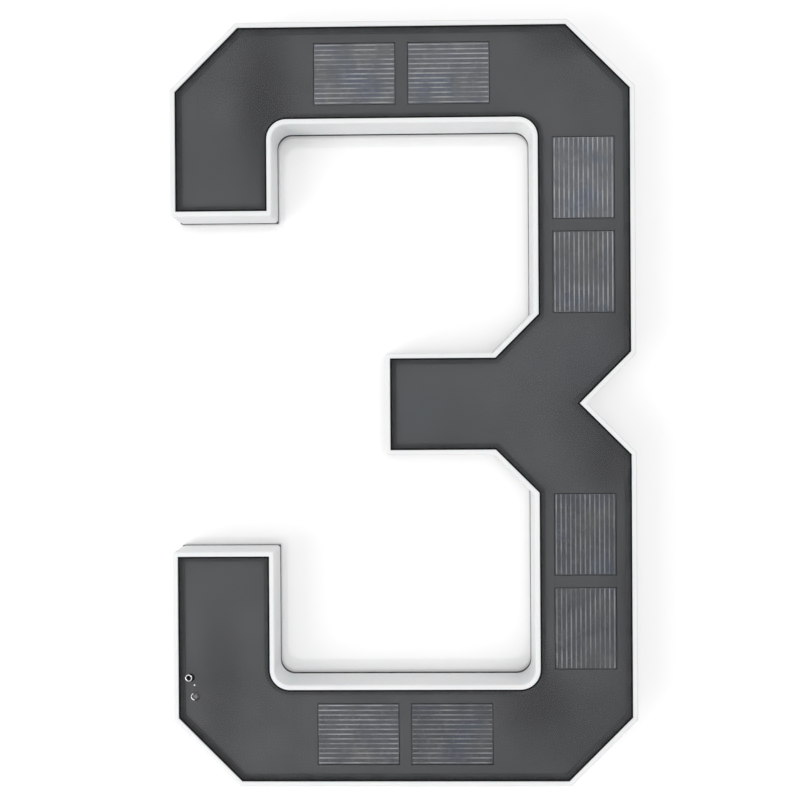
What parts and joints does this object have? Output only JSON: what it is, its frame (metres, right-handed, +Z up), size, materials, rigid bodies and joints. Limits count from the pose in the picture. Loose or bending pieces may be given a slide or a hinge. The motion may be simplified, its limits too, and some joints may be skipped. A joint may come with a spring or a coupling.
{
  "type": "illuminated house number sign",
  "caption": "Wall-hung solar house number: an open channel digit with a smoked face over small solar cells, a translucent shell, a flat back with keyholes and a power button.",
  "frame": {"origin": "middle of the flat back, where it lies against the wall", "axes": "+X to the right seen from the front, +Y into the wall, +Z up; the lit face looks along -Y"},
  "size_m": [0.1852, 0.0254, 0.305],
  "materials": {
    "white_shell": "satin",
    "smoked_acrylic": "gloss",
    "foam_tape": "matte",
    "black_plastic": "matte",
    "solar_silicon": "gloss",
    "sensor_resin": "gloss",
    "lamp_resin": "gloss",
    "dark_cover": "satin",
    "dark_door": "satin",
    "silicone": "matte",
    "stainless_steel": "satin",
    "spring_metal": "satin",
    "battery_wrap": "satin",
    "vent_plastic": "matte",
    "circuit_board": "gloss",
    "strip_board": "satin",
    "chip_resin": "matte",
    "ferrite": "matte",
    "can_aluminium": "satin",
    "connector_nylon": "satin",
    "button_rubber": "matte",
    "switch_plastic": "satin",
    "led_package": "gloss",
    "wire_red": "satin",
    "wire_black": "satin"
  },
  "bodies": {
    "sign": {"back_cover": "dark_cover", "battery_cell_left": "battery_wrap", "battery_cell_right": "battery_wrap", "battery_contacts": "spring_metal", "battery_door": "dark_door", "battery_holder": "black_plastic", "battery_lead": "wire_red", "board_capacitors": "can_aluminium", "board_chips": "chip_resin", "board_inductor": "ferrite", "board_screws": "stainless_steel", "cell_carrier": "black_plastic", "control_board": "circuit_board", "cover_gasket": "silicone", "cover_screws": "stainless_steel", "door_gasket": "silicone", "door_screws": "stainless_steel", "face_lens": "smoked_acrylic", "holder_screws": "stainless_steel", "housing": "white_shell", "lead_terminals": "connector_nylon", "led_lead": "wire_black", "led_strip_bottom": "strip_board", "led_strip_lower_arm": "strip_board", "led_strip_lower_right": "strip_board", "led_strip_middle": "strip_board", "led_strip_top": "strip_board", "led_strip_upper_arm": "strip_board", "led_strip_upper_right": "strip_board", "leds": "led_package", "lens_tape": "foam_tape", "light_sensor": "sensor_resin", "solar_cell_bottom_left": "solar_silicon", "solar_cell_bottom_right": "solar_silicon", "solar_cell_lower_inner": "solar_silicon", "solar_cell_lower_outer": "solar_silicon", "solar_cell_top_left": "solar_silicon", "solar_cell_top_right": "solar_silicon", "solar_cell_upper_inner": "solar_silicon", "solar_cell_upper_outer": "solar_silicon", "solar_lead": "wire_black", "status_led": "lamp_resin", "switch_body": "switch_plastic", "vent_plug": "vent_plastic", "wire_connectors": "connector_nylon"},
    "power_button": {"button_cap": "button_rubber", "switch_plunger": "switch_plastic"}
  },
  "joints": [
    {"name": "power_button_press", "type": "slide", "parent": "sign", "child": "power_button", "axis": [0, -1, 0], "range_m": [0, 0.0012], "stiffness_N_per_m": 1200, "springref_m": -0.0005}
  ]
}
